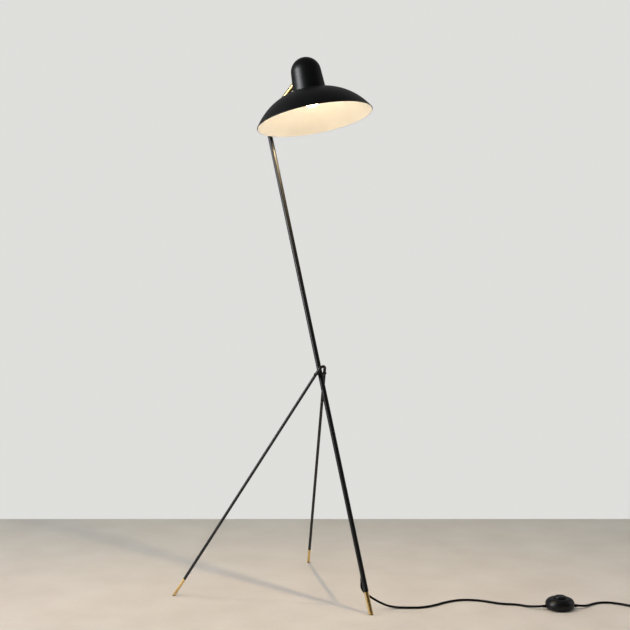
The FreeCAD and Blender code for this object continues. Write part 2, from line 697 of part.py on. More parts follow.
def head_wires():
    """Two wires from the arm's bore to the side of the lamp holder."""
    wires = []
    for side in (-1, 1):
        inside = [ARM_FRAME.multVec(Vector(0, side * 1.1, ARM_SHOULDER + 20)),
                  ARM_FRAME.multVec(Vector(0, side * 1.1, ARM_LENGTH - 2)),
                  HEAD_FRAME.multVec(Vector(-23.3, side * 1.1, ADAPTER_HEIGHT)),
                  HEAD_FRAME.multVec(Vector(-22.6, side * 9.0, ADAPTER_HEIGHT + 12)),
                  HEAD_FRAME.multVec(Vector(-17.5, side * 9.2, ADAPTER_HEIGHT + 15))]
        solid, length, radii = swept(inside, 1.0, [3.0, 2.6, 2.2])
        body = placed(rod(SOCKET_R, SOCKET_LOW, SOCKET_TOP), HEAD_FRAME)
        outside = solid.cut(body)
        wires.append(max(outside.Solids, key=lambda piece: piece.Volume))
    return group(wires)


# ---- Cord inlet ----

def cord_gland():
    """A tapered rubber relief at the pole's underside, pointing down along the pole."""
    cone = taper(5.0, CORD_R + 0.9, 4, GLAND_LENGTH)
    sleeve = rod(CORD_R + 0.4, 2, 10)
    body = cone.cut(placed(rod(POLE_R, 0, 200), gland_to_pole()))
    body = max(body.Solids, key=lambda piece: piece.Volume)
    core = sleeve.common(placed(rod(POLE_R + 0.5, 0, 200), gland_to_pole()))
    core = core.cut(placed(rod(POLE_BORE_R, 0, 200), gland_to_pole()))
    core = max(core.Solids, key=lambda piece: piece.CenterOfMass.z)
    whole = body.fuse(core).removeSplitter().cut(rod(CORD_R, 0, GLAND_LENGTH))
    return placed(whole, gland_frame())


def gland_to_pole():
    """The pole's frame as the gland's frame sees it."""
    return gland_frame().inverse().multiply(POLE_FRAME)


def inner_cord():
    """The cord from the gland's mouth, through the pole and the coupler's bore."""
    mouth = gland_frame().multVec(Vector(0, 0, GLAND_LENGTH))
    turn = gland_frame().Base
    top = POLE_FRAME.multVec(Vector(0, 0, SPIGOT_LOW))
    solid, length, radii = swept([mouth, turn, top], CORD_R, [INNER_BEND_R])
    return solid


# ---- Foot switch ----

SWITCH_FRAME = Placement(Vector(FRONT_FOOT_X + SWITCH_FORWARD, SWITCH_SIDE, 0),
                         Rotation(Vector(0, 0, 1), SWITCH_TURN))
SWITCH_SPLIT = 10.0
SWITCH_WALL = 2.2
SWITCH_FOOT = 1.2


def pebble(inset):
    """The switch's flattened round form, made smaller by the inset, and solid."""
    side = SWITCH_R - inset
    base = SWITCH_R - 9.0 - inset
    low = SWITCH_FOOT + inset
    high = SWITCH_HEIGHT - inset
    crown = BUTTON_R + 5.0 - inset
    edges = [line((0, low), (base, low)),
             arc((base, low), (side - 2.0, low + 3.6), (side, SWITCH_SPLIT + 2)),
             arc((side, SWITCH_SPLIT + 2), (side - 4.6, high - 4.2), (crown, high)),
             line((crown, high), (0, high)), line((0, high), (0, low))]
    return turned(edges)


def switch_cord_bore():
    """The tunnels that the two cord ends and their reliefs come out of."""
    return Part.makeCylinder(4.6, 100, Vector(-50, 0, SWITCH_PORT_HEIGHT), Vector(1, 0, 0))


def switch_screw_posts(radius, low, high):
    post = rod(radius, low, high).translated(Vector(0, 23.5, 0))
    copies = []
    for angle in (30, -30, 150, 210):
        copy = post.copy()
        copy.rotate(Vector(0, 0, 0), Vector(0, 0, 1), angle)
        copies.append(copy)
    return copies


def switch_base():
    low_half = block(Vector(0, 0, SWITCH_SPLIT - 50), (200, 200, 100))
    shell = pebble(0).cut(pebble(SWITCH_WALL)).common(low_half)
    shell = shell.fuse(switch_screw_posts(3.2, SWITCH_FOOT + 1, SWITCH_SPLIT))
    shell = shell.cut(switch_screw_posts(1.3, 0, SWITCH_SPLIT + 1))
    shell = shell.cut(switch_screw_posts(2.3, 0, SWITCH_FOOT + 1))
    return placed(shell.cut(switch_cord_bore()).removeSplitter(), SWITCH_FRAME)


def switch_cover():
    """The upper shell, with a raised ring around the button's hole."""
    top_half = block(Vector(0, 0, SWITCH_SPLIT + 50), (200, 200, 100))
    shell = pebble(0).cut(pebble(SWITCH_WALL)).common(top_half)
    collar = tube(BUTTON_R + 2.2, BUTTON_R + 0.4, SWITCH_HEIGHT - 8, SWITCH_HEIGHT + 1.6)
    shell = shell.fuse(collar).cut(rod(BUTTON_R + 0.4, 10, 60))
    posts = [post.common(pebble(SWITCH_WALL / 2)) for post in
             switch_screw_posts(3.0, SWITCH_SPLIT, SWITCH_HEIGHT)]
    shell = shell.fuse(posts)
    shell = shell.cut(switch_screw_posts(1.2, 0, SWITCH_SPLIT + 7))
    return placed(shell.cut(switch_cord_bore()).removeSplitter(), SWITCH_FRAME)


def switch_screws():
    screws = []
    for shank, head in zip(switch_screw_posts(1.2, SWITCH_FOOT + 0.4, SWITCH_SPLIT + 6),
                           switch_screw_posts(2.2, SWITCH_FOOT + 0.2, SWITCH_FOOT + 1)):
        screws.append(shank.fuse(head))
    return placed(group(screws), SWITCH_FRAME)


def switch_foot_ring():
    """A rubber ring under the base."""
    return placed(tube(SWITCH_R - 10.0, SWITCH_R - 17.5, 0, SWITCH_FOOT), SWITCH_FRAME)


def switch_contacts():
    """The contact block that the button works."""
    low = SWITCH_FOOT + SWITCH_WALL
    body = block(Vector(0, 0, (low + SPRING_LOW) / 2), (18, 16, SPRING_LOW - low))
    return placed(body.cut(rod(1.7, SPRING_LOW - 3, SPRING_LOW)), SWITCH_FRAME)


def switch_button():
    """The round push button: hollow, with a flange under the cover and a stem for its spring."""
    crown_r = BUTTON_R - 4.0
    flange_r = BUTTON_R + 2.0
    flange_top = BUTTON_LOW + 2.2
    hollow_r = BUTTON_R - 2.5
    stem_r = 1.2
    stem_low = BUTTON_LOW + 1.6
    crown = [arc((0, BUTTON_TOP), (crown_r / 2, BUTTON_TOP - 0.15), (crown_r, BUTTON_TOP - 0.6)),
             arc((crown_r, BUTTON_TOP - 0.6), (BUTTON_R - 1.1, BUTTON_TOP - 1.2), (BUTTON_R, BUTTON_TOP - 3.0))]
    corners = [(BUTTON_R, BUTTON_TOP - 3.0), (BUTTON_R, flange_top), (flange_r, flange_top),
               (flange_r, BUTTON_LOW), (hollow_r, BUTTON_LOW), (hollow_r, SPRING_TOP),
               (stem_r, SPRING_TOP), (stem_r, stem_low), (0, stem_low), (0, BUTTON_TOP)]
    walls = [line(start, end) for start, end in zip(corners, corners[1:])]
    return placed(turned(crown + walls), SWITCH_FRAME)


def button_spring():
    """The coil spring between the contact block and the button."""
    turns = 5.0
    wire_r = 0.35
    pitch = (SPRING_TOP - SPRING_LOW - 2 * wire_r) / turns
    helix = Part.makeHelix(pitch, pitch * turns, 2.4)
    circle = Part.Wire(Part.Circle(Vector(2.4, 0, 0), Vector(0, 1, 0), wire_r).toShape())
    wire = Part.Wire(helix).makePipeShell([circle], True, True)
    wire.translate(Vector(0, 0, SPRING_LOW + wire_r))
    return placed(wire, SWITCH_FRAME)


def switch_reliefs():
    """Two short tapered reliefs where the cord enters and leaves the switch."""
    reliefs = []
    for turn in (0, 180):
        cone = Part.makeCone(4.6, CORD_R + 0.7, 20.0, Vector(27, 0, SWITCH_PORT_HEIGHT), Vector(1, 0, 0))
        bore = Part.makeCylinder(CORD_R, 40, Vector(20, 0, SWITCH_PORT_HEIGHT), Vector(1, 0, 0))
        relief = cone.cut(bore)
        relief.rotate(Vector(0, 0, 0), Vector(0, 0, 1), turn)
        reliefs.append(placed(relief, SWITCH_FRAME))
    return group(reliefs)


# ---- Coil and plug ----

COIL_CENTRE = Vector(FRONT_FOOT_X + COIL_FORWARD, COIL_SIDE, 0)
COIL_TIE_TURN = 200.0          # degrees; where the tie crosses the ring


def cord_coil():
    """The outer form of the wound cord: six turns, three beside each other in two layers."""
    ring = Part.makeCylinder(COIL_OUTER_R, COIL_HEIGHT).cut(Part.makeCylinder(COIL_INNER_R, COIL_HEIGHT))
    return ring.translated(COIL_CENTRE)


def coil_tie():
    """A strap around the coil's turns."""
    middle = (COIL_INNER_R + COIL_OUTER_R) / 2
    length = COIL_OUTER_R - COIL_INNER_R + 2.0
    height = COIL_HEIGHT + 1.0
    strap = block(Vector(middle, 0, height / 2), (length, 7, height))
    strap.rotate(Vector(0, 0, 0), Vector(0, 0, 1), COIL_TIE_TURN)
    return strap.translated(COIL_CENTRE).cut(cord_coil())


PLUG_START = Vector(FRONT_FOOT_X + TAIL_ROUTE[-1][0], TAIL_ROUTE[-1][1], TAIL_ROUTE[-1][2])
PLUG_TURN = 109.1              # degrees; the way the plug points
PLUG_FRAME = Placement(PLUG_START, Rotation(Vector(0, 0, 1), PLUG_TURN))
PLUG_RELIEF_LENGTH = 24.0
PLUG_LENGTH = 34.0
PLUG_HALF_WIDTH = 17.0
PLUG_HALF_THICKNESS = 6.8
PIN_SPACING = 18.6


def plug_body():
    """A flat two-pin plug with chamfered sides, lying on its broad face."""
    start = PLUG_RELIEF_LENGTH
    half_low = 8.0
    outline = [Vector(start, -half_low, 0), Vector(start + 12, -PLUG_HALF_WIDTH, 0),
               Vector(start + PLUG_LENGTH, -PLUG_HALF_WIDTH, 0),
               Vector(start + PLUG_LENGTH, PLUG_HALF_WIDTH, 0),
               Vector(start + 12, PLUG_HALF_WIDTH, 0), Vector(start, half_low, 0),
               Vector(start, -half_low, 0)]
    slab = Part.Face(Part.makePolygon(outline)).extrude(Vector(0, 0, 2 * PLUG_HALF_THICKNESS))
    slab.translate(Vector(0, 0, -PLUG_HALF_THICKNESS))
    slab = slab.makeFillet(2.5, slab.Edges)
    for side in (-1, 1):
        hole = Part.makeCylinder(2.0, 12, Vector(start + PLUG_LENGTH - 8, side * PIN_SPACING / 2, 0),
                                 Vector(1, 0, 0))
        slab = slab.cut(hole)
    return placed(slab, PLUG_FRAME)


def plug_pins():
    pins = []
    start = PLUG_RELIEF_LENGTH + PLUG_LENGTH - 8
    for side in (-1, 1):
        base = Vector(start, side * PIN_SPACING / 2, 0)
        pin = Part.makeCylinder(2.0, 25.5, base, Vector(1, 0, 0))
        tip = Part.makeSphere(2.0, base + Vector(25.5, 0, 0))
        pins.append(pin.fuse(tip).removeSplitter())
    return placed(group(pins), PLUG_FRAME)


def plug_relief():
    cone = Part.makeCone(CORD_R + 0.6, 5.0, PLUG_RELIEF_LENGTH, Vector(0, 0, 0), Vector(1, 0, 0))
    bore = Part.makeCylinder(CORD_R, PLUG_RELIEF_LENGTH, Vector(0, 0, 0), Vector(1, 0, 0))
    return placed(cone.cut(bore), PLUG_FRAME)


# ---- All nodes ----

NODES = {
    "front_ferrule": front_ferrule,
    "foot_pad_front": foot_pad_front,
    "rear_ferrule_left": lambda: rear_ferrule(1),
    "rear_ferrule_right": lambda: rear_ferrule(-1),
    "foot_pads_rear": foot_pads_rear,
    "lower_pole": lower_pole,
    "upper_pole": upper_pole,
    "pole_coupler": pole_coupler,
    "v_leg_rod": v_leg_rod,
    "hub_spacers": hub_spacers,
    "hub_screws": hub_screws,
    "cord_gland": cord_gland,
    "inner_cord": inner_cord,
    "swivel_spigot": swivel_spigot,
    "swivel_washer": swivel_washer,
    "swivel_fork": swivel_fork,
    "swivel_grub": swivel_grub,
    "tilt_screw": tilt_screw,
    "tilt_nut": tilt_nut,
    "tilt_tongue": tilt_tongue,
    "friction_washers": friction_washers,
    "arm_tube": arm_tube,
    "dome_adapter": dome_adapter,
    "adapter_spacer": adapter_spacer,
    "adapter_nut": adapter_nut,
    "dome": dome,
    "shade_dish": shade_dish,
    "shade_ring": shade_ring,
    "shade_screws": shade_screws,
    "socket_bracket": socket_bracket,
    "socket_body": socket_body,
    "socket_shell": socket_shell,
    "socket_contact": socket_contact,
    "socket_nut": socket_nut,
    "bulb_glass": bulb_glass,
    "bulb_cap": bulb_cap,
    "bulb_contact": bulb_contact,
    "bulb_lamp_post": bulb_lamp_post,
    "head_wires": head_wires,
    "switch_base": switch_base,
    "switch_cover": switch_cover,
    "switch_screws": switch_screws,
    "switch_foot_ring": switch_foot_ring,
    "switch_contacts": switch_contacts,
    "switch_button": switch_button,
    "button_spring": button_spring,
    "switch_reliefs": switch_reliefs,
    "cord_lamp_side": lambda: cord("cord_lamp_side", LAMP_ROUTE),
    "cord_plug_side": lambda: cord("cord_plug_side", PLUG_ROUTE, cord_coil()),
    "cord_coil": cord_coil,
    "cord_tail": lambda: cord("cord_tail", TAIL_ROUTE, cord_coil()),
    "coil_tie": coil_tie,
    "plug_body": plug_body,
    "plug_pins": plug_pins,
    "plug_relief": plug_relief,
}


def main():
    os.makedirs("parts", exist_ok=True)
    for name, build in NODES.items():
        shape = build()
        shape.exportStep("parts/%s.step" % name)
        box = shape.optimalBoundingBox(False, False)
        print("%-20s solids %d valid %s volume %.1f box %.1f %.1f %.1f to %.1f %.1f %.1f" % (
            name, len(shape.Solids), shape.isValid(), shape.Volume,
            box.XMin, box.YMin, box.ZMin, box.XMax, box.YMax, box.ZMax))
    print("pivot", PIVOT, "hub", HUB, "arm length %.2f rise %.3f" % (ARM_LENGTH, ARM_RISE))
    print("gland mouth", gland_frame().multVec(Vector(0, 0, GLAND_LENGTH)))


main()
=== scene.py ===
"""Looks of the tripod floor lamp: fine meshes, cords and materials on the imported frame."""

import json
import math

import bmesh
import bpy
from mathutils import Matrix, Vector


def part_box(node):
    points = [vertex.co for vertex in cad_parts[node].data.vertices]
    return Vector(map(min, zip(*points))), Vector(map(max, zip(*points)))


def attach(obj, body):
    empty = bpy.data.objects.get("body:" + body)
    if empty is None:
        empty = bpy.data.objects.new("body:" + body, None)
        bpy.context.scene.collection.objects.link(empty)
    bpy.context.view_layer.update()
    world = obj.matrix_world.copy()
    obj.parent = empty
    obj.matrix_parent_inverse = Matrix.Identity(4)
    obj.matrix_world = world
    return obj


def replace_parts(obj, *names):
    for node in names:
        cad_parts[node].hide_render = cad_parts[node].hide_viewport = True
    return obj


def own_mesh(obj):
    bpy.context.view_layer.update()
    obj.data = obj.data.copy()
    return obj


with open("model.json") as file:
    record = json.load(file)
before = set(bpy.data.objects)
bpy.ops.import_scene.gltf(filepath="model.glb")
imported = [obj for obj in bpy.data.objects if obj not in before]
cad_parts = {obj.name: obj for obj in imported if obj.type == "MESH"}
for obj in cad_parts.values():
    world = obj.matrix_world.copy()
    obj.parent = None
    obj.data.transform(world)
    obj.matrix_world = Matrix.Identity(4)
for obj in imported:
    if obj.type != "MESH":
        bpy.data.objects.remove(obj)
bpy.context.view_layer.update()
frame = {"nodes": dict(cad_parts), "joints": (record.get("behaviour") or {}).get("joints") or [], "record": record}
MM = 0.001                      # outlines below are in millimetres
SIDE = Vector((0, 1, 0))
UP = Vector((0, 0, 1))
JOINTS = {joint["name"]: joint for joint in frame["joints"]}
SLOT_OF = {part["node"]: part["material_slot"] for part in frame["record"]["subparts"]}


# ---- Places, from the frame ----

def centre(node):
    """The middle of a CAD node's box."""
    low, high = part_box(node)
    return (low + high) / 2


def frame_on(origin, up, side=SIDE):
    """A local frame, in millimetres, with its z axis along up and its y axis near side."""
    z = up.normalized()
    y = (side - z * side.dot(z)).normalized()
    turn = Matrix((y.cross(z), y, z)).transposed().to_4x4()
    return Matrix.Translation(origin) @ turn @ Matrix.Scale(MM, 4)


PIVOT = Vector(JOINTS["head_tilt"]["pos_m"])
POLE_UP = Vector(JOINTS["head_pan"]["axis"])
FRONT_FOOT = PIVOT - POLE_UP * (PIVOT.z / POLE_UP.z)
POLE_FRAME = frame_on(FRONT_FOOT, POLE_UP)
HEAD_UP = (centre("socket_shell") - centre("shade_ring")).normalized()
RING_HEIGHT = 68.8 * MM         # of the ring's middle in the head's frame
HEAD_FRAME = frame_on(centre("shade_ring") - HEAD_UP * RING_HEIGHT, HEAD_UP)
HUB = centre("hub_screws")


# ---- Objects ----

def new_object(name, data):
    """An object for that mesh, curve, light or camera, in the scene."""
    made = bpy.data.objects.new(name, data)
    bpy.context.scene.collection.objects.link(made)
    return made


def aim(thing, direction):
    """Turns a camera or a light to look along a direction, its top upward."""
    thing.rotation_mode = "QUATERNION"
    thing.rotation_quaternion = direction.to_track_quat("-Z", "Y")


# ---- Camera ----

CAMERA_PLACE = (2.7020, -2.5980, 1.0606)
CAMERA_AHEAD = Vector((-0.7157, 0.6984, 0))
CAMERA_DROP = 4.46              # degrees below the horizon
CAMERA_LENS = 80.0              # for the sensor below, both in millimetres
SENSOR_WIDTH = 36.0
FARTHEST_SEEN = 60.0


def make_camera():
    """The camera, a little above half the lamp's height, looking slightly down."""
    data = bpy.data.cameras.new("camera")
    data.lens = CAMERA_LENS
    data.sensor_width = SENSOR_WIDTH
    data.clip_end = FARTHEST_SEEN
    camera = new_object("camera", data)
    camera.location = CAMERA_PLACE
    aim(camera, CAMERA_AHEAD.normalized() - UP * math.tan(math.radians(CAMERA_DROP)))
    bpy.context.scene.camera = camera


# ---- Materials ----

def node_at(tree, kind, **settings):
    """A new shader node with those properties set."""
    node = tree.nodes.new(kind)
    for name, value in settings.items():
        setattr(node, name, value)
    return node


def noise(tree, size, detail=3.0, stretch=(1, 1, 1)):
    """A noise whose features are about that many metres across, in the piece's own space."""
    place = node_at(tree, "ShaderNodeTexCoord")
    mapping = node_at(tree, "ShaderNodeMapping")
    mapping.inputs["Scale"].default_value = stretch
    texture = node_at(tree, "ShaderNodeTexNoise")
    texture.inputs["Scale"].default_value = 1 / size
    texture.inputs["Detail"].default_value = detail
    tree.links.new(place.outputs["Object"], mapping.inputs["Vector"])
    tree.links.new(mapping.outputs["Vector"], texture.inputs["Vector"])
    return texture.outputs["Fac"]


def spread(tree, value, low, high):
    """The middle of a noise's range, stretched to low and high."""
    node = node_at(tree, "ShaderNodeMapRange")
    node.inputs["From Min"].default_value = 0.3
    node.inputs["From Max"].default_value = 0.7
    node.inputs["To Min"].default_value = low
    node.inputs["To Max"].default_value = high
    tree.links.new(value, node.inputs["Value"])
    return node.outputs["Result"]


def finish(name, tones, gloss, blotch=0.05, grain=0.001, relief=0.1, depth=0.0001,
           stretch=(1, 1, 1), **fixed):
    """A material whose colour varies between two tones and whose roughness varies over gloss.

    blotch is the size of the colour's patches and grain of the surface's relief, in metres.
    fixed holds sockets of the shader that are the same all over.
    """
    made = bpy.data.materials.new(name)
    made.use_nodes = True
    tree = made.node_tree
    shader = tree.nodes["Principled BSDF"]
    for socket, value in fixed.items():
        shader.inputs[socket.replace("_", " ")].default_value = value
    mix = node_at(tree, "ShaderNodeMix", data_type="RGBA")
    mix.inputs["A"].default_value = (*tones[0], 1)
    mix.inputs["B"].default_value = (*tones[1], 1)
    tree.links.new(spread(tree, noise(tree, blotch), 0, 1), mix.inputs["Factor"])
    tree.links.new(mix.outputs["Result"], shader.inputs["Base Color"])
    fine = noise(tree, grain, 4.0, stretch)
    tree.links.new(spread(tree, fine, gloss[0], gloss[1]), shader.inputs["Roughness"])
    bump = node_at(tree, "ShaderNodeBump")
    bump.inputs["Strength"].default_value = relief
    bump.inputs["Distance"].default_value = depth
    tree.links.new(fine, bump.inputs["Height"])
    tree.links.new(bump.outputs["Normal"], shader.inputs["Normal"])
    return made


def make_finishes():
    """One material for each slot of the record."""
    return {
        "black_paint": finish(
            "satin_black_paint", ((0.0035, 0.0035, 0.0035), (0.005, 0.005, 0.005)), (0.36, 0.42),
            grain=0.0014, relief=0.08, depth=0.00005, Specular_IOR_Level=0.36),
        "white_enamel": finish(
            "white_enamel", ((0.86, 0.83, 0.77), (0.90, 0.87, 0.82)), (0.42, 0.5),
            grain=0.0016, relief=0.08, depth=0.00006),
        "brass": finish(
            "polished_brass", ((0.66, 0.45, 0.17), (0.74, 0.53, 0.23)), (0.24, 0.33),
            blotch=0.02, grain=0.0009, relief=0.06, depth=0.00004, stretch=(1, 1, 0.12),
            Metallic=1.0),
        "steel": finish(
            "zinc_steel", ((0.52, 0.52, 0.54), (0.62, 0.62, 0.64)), (0.28, 0.4),
            blotch=0.01, grain=0.0008, Metallic=1.0),
        "black_plastic": finish(
            "moulded_black_plastic", ((0.004, 0.004, 0.005), (0.006, 0.006, 0.007)), (0.3, 0.4),
            blotch=0.02, grain=0.0006, relief=0.25, depth=0.00006, Specular_IOR_Level=0.3),
        "black_rubber": finish(
            "black_cord_jacket", ((0.003, 0.003, 0.003), (0.005, 0.005, 0.005)), (0.42, 0.52),
            blotch=0.03, grain=0.0012, relief=0.12, depth=0.00005, Specular_IOR_Level=0.12),
        "nylon": finish(
            "white_nylon", ((0.76, 0.75, 0.70), (0.82, 0.81, 0.77)), (0.45, 0.55),
            blotch=0.01, Subsurface_Weight=0.1),
        "porcelain": finish(
            "glazed_porcelain", ((0.82, 0.80, 0.76), (0.88, 0.87, 0.83)), (0.12, 0.2),
            blotch=0.02, grain=0.004, relief=0.05, Coat_Weight=0.6, Coat_Roughness=0.08),
        "opal_glass": finish(
            "lit_opal_glass", ((1.0, 0.93, 0.82), (1.0, 0.95, 0.86)), (0.1, 0.16),
            blotch=0.02, grain=0.003, relief=0.02, Emission_Color=(1.0, 0.78, 0.48, 1),
            Emission_Strength=23.0),
        "cap_metal": finish(
            "bright_nickel", ((0.68, 0.67, 0.64), (0.76, 0.75, 0.73)), (0.18, 0.28),
            blotch=0.01, Metallic=1.0),
        "light_filament": finish(
            "lit_stem_and_filament", ((1.0, 0.72, 0.34), (1.0, 0.78, 0.42)), (0.2, 0.3),
            blotch=0.01, Emission_Color=(1.0, 0.70, 0.34, 1), Emission_Strength=4.0),
        "wire_insulation": finish(
            "silicone_wire", ((0.66, 0.66, 0.67), (0.74, 0.74, 0.75)), (0.35, 0.45), blotch=0.01),
    }


FINISHES = make_finishes()


# ---- Meshes ----

SHARP = math.radians(32)        # a steeper edge stays crisp


def mark_sharp(builder):
    for edge in builder.edges:
        edge.smooth = edge.calc_face_angle(0) < SHARP


def add_piece(name, mesh_builder, body, slot, *nodes):
    """A new mesh piece that rides on a body, has a slot's finish and stands for CAD nodes."""
    bmesh.ops.recalc_face_normals(mesh_builder, faces=mesh_builder.faces)
    for face in mesh_builder.faces:
        face.smooth = True
    mark_sharp(mesh_builder)
    mesh = bpy.data.meshes.new(name)
    mesh_builder.to_mesh(mesh)
    mesh_builder.free()
    mesh.materials.append(FINISHES[slot])
    piece = new_object(name, mesh)
    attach(piece, body)
    if nodes:
        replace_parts(piece, *nodes)
    return piece


def swing(hub, first, last, steps):
    """Points on a circle from one to another, the short way round, both included."""
    start = math.atan2(first.y - hub.y, first.x - hub.x)
    turn = math.atan2(last.y - hub.y, last.x - hub.x) - start
    turn -= 2 * math.pi * round(turn / (2 * math.pi))
    radius = (first - hub).length
    points = []
    for step in range(steps + 1):
        angle = start + turn * step / steps
        points.append(hub + Vector((math.cos(angle), math.sin(angle))) * radius)
    return points


def rounded(corners, steps=5):
    """A loop's corners as points; a corner's third number is the radius that rounds it."""
    points = []
    for index, corner in enumerate(corners):
        here = Vector(corner[:2])
        radius = corner[2] if len(corner) > 2 else 0
        if not radius:
            points.append(here)
            continue
        back = (Vector(corners[index - 1][:2]) - here).normalized()
        ahead = (Vector(corners[(index + 1) % len(corners)][:2]) - here).normalized()
        half = back.angle(ahead) / 2
        hub = here + (back + ahead).normalized() * (radius / math.sin(half))
        reach = radius / math.tan(half)
        points += swing(hub, here + back * reach, here + ahead * reach, steps)
    return points


def arc_through(start, middle, end, steps):
    """Points of the circular arc through three points, both ends included."""
    ax, ay = start
    bx, by = middle
    cx, cy = end
    d = 2 * (ax * (by - cy) + bx * (cy - ay) + cx * (ay - by))
    ux = ((ax * ax + ay * ay) * (by - cy) + (bx * bx + by * by) * (cy - ay)
          + (cx * cx + cy * cy) * (ay - by)) / d
    uy = ((ax * ax + ay * ay) * (cx - bx) + (bx * bx + by * by) * (ax - cx)
          + (cx * cx + cy * cy) * (bx - ax)) / d
    return swing(Vector((ux, uy)), Vector(start), Vector(end), steps)


def turned(outline, place, segments=72, builder=None):
    """A mesh turned about the place's z axis from a closed outline of (radius, height)."""
    builder = builder or bmesh.new()
    rings = []
    for radius, height in outline:
        count = segments if radius > 1e-6 else 1
        ring = []
        for index in range(count):
            angle = 2 * math.pi * index / segments
            point = Vector((radius * math.cos(angle), radius * math.sin(angle), height))
            ring.append(builder.verts.new(place @ point))
        rings.append(ring)
    for low, high in zip(rings, rings[1:] + rings[:1]):
        for index in range(segments):
            after = (index + 1) % segments
            loop = [low[index % len(low)], low[after % len(low)],
                    high[after % len(high)], high[index % len(high)]]
            corners = list(dict.fromkeys(loop))
            if len(corners) > 2:
                builder.faces.new(corners)
    return builder


def cut(piece, cutter_builder):
    """Takes a shape away from a piece for good."""
    mesh = bpy.data.meshes.new("cutter")
    bmesh.ops.recalc_face_normals(cutter_builder, faces=cutter_builder.faces)
    cutter_builder.to_mesh(mesh)
    cutter_builder.free()
    cutter = new_object("cutter", mesh)
    boolean = piece.modifiers.new("cut", "BOOLEAN")
    boolean.operation = "DIFFERENCE"
    boolean.solver = "EXACT"
    boolean.object = cutter
    depsgraph = bpy.context.evaluated_depsgraph_get()
    result = bpy.data.meshes.new_from_object(piece.evaluated_get(depsgraph), depsgraph=depsgraph)
    piece.modifiers.clear()
    piece.data = result
    bpy.data.objects.remove(cutter)
    builder = bmesh.new()
    builder.from_mesh(result)
    mark_sharp(builder)
    builder.to_mesh(result)
    builder.free()
    return piece


def bar(radius, low, high):
    """The outline of a plain round bar, for a cutter."""
    return [(0, low), (radius, low), (radius, high), (0, high)]


# ---- Cords ----

CORD_RADIUS = 3.0 * MM
CORD_LIES = 3.05                # its middle's height on the floor, in millimetres
PORT_HEIGHT = 8.0               # of the cord's middle in the foot switch's ports

# (forward of the front foot, to the side, up), in millimetres, as in the CAD source.
LAMP_ROUTE = [
    (-34.26, 0.0, 81.55), (-36.1, 0.0, 69.7), (-36.2, 4.5, 58.0), (-33.4, 13.5, 47.5),
    (-28.8, 25.5, 37.5), (-22.5, 40.0, 26.5), (-14.5, 56.0, 15.8), (-5.0, 71.5, 7.8),
    (7.0, 87.0, 3.7), (20.5, 100.0, CORD_LIES), (36.0, 114.0, CORD_LIES),
    (55.0, 134.2, CORD_LIES), (65.8, 170.5, CORD_LIES),
    (66.6, 221.4, CORD_LIES), (78.1, 263.3, CORD_LIES), (105.4, 289.8, CORD_LIES),
    (140.5, 304.4, CORD_LIES), (180.7, 312.7, CORD_LIES), (214.0, 338.9, CORD_LIES),
    (230.5, 342.0, CORD_LIES), (246.4, 344.4, 3.8), (262.2, 346.6, 6.2),
    (273.8, 352.5, 7.6), (280.4, 360.0, PORT_HEIGHT)]
PLUG_ROUTE = [
    (342.0, 431.0, PORT_HEIGHT), (350.0, 440.2, 7.2), (353.4, 458.0, 4.4),
    (350.6, 483.0, CORD_LIES), (355.0, 508.0, CORD_LIES), (371.0, 528.5, CORD_LIES),
    (398.5, 539.0, CORD_LIES),
    (430.4, 544.2, CORD_LIES), (452.9, 544.4, CORD_LIES), (478.4, 547.6, CORD_LIES)]
TAIL_ROUTE = [
    (499.5, 615.0, 9.1), (490.2, 625.5, 8.6), (483.7, 637.4, 7.6), (479.3, 650.1, 6.9)]
COIL_SIDE_RADIUS = 39.0         # of the outermost turn's middle
TURN_STEP = 6.1                 # from a turn to its neighbour
COIL_ENTRY = -44.3              # degrees; where the cord joins the coil
COIL_END = 1890                 # degrees of winding
COIL_STEP = 15                  # degrees between two points of a turn
COIL_PASS = 60                  # degrees in which the cord moves over to the next turn


def on_floor_plan(point):
    """A route's point in the row frame, in metres."""
    ahead, side, up = point
    return FRONT_FOOT + Vector((ahead, side, up)) * MM


def eased(value, start, end):
    """0 before start and 1 after end, smooth between them."""
    share = min(1.0, max(0.0, (value - start) / (end - start)))
    return share * share * (3 - 2 * share)


def passed(wound, *ends):
    """How many of the moves that end at those degrees are made, a share of the last included."""
    return sum(eased(wound, end - COIL_PASS, end) for end in ends)


def coil_points():
    """Three turns side by side from the outside in, then back out on top of them."""
    middle = centre("cord_coil")
    points = []
    for wound in range(COIL_STEP, COIL_END, COIL_STEP):
        inward = passed(wound, 360, 720)
        outward = passed(wound, 1320, 1680)
        raised = passed(wound, 1020)
        radius = COIL_SIDE_RADIUS + TURN_STEP * (outward - inward)
        radius /= 0.75 + 0.25 * math.cos(math.radians(COIL_STEP))
        angle = math.radians(COIL_ENTRY + wound)
        points.append(Vector((middle.x + radius * math.cos(angle) * MM,
                              middle.y + radius * math.sin(angle) * MM,
                              (CORD_LIES + TURN_STEP * raised) * MM)))
    return points


def make_cord(name, points, *nodes):
    """A round black cord along those control points, in metres, that stands for CAD nodes."""
    data = bpy.data.curves.new(name, "CURVE")
    data.dimensions = "3D"
    data.bevel_depth = CORD_RADIUS
    data.bevel_resolution = 6
    data.use_fill_caps = True
    spline = data.splines.new("NURBS")
    spline.points.add(len(points) - 1)
    for control, point in zip(spline.points, points):
        control.co = (*point, 1)
    spline.order_u = 3
    spline.use_endpoint_u = True
    spline.resolution_u = 8
    data.materials.append(FINISHES["black_rubber"])
    cord = new_object(name, data)
    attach(cord, "stand")
    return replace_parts(cord, *nodes)


# ---- Stage ----

FLOOR_BEHIND = 1.117            # from the front foot to the floor's far edge
FLOOR_AHEAD = 9.0
FLOOR_HALF_WIDTH = 7.0
# painted shade: the floor's colour is multiplied by this tone towards its far edge
FAR_FLOOR_SHADE_TONE = (0.78, 0.83, 0.84, 1)
PLAIN_BACKDROP = (0.735, 0.735, 0.715, 1)


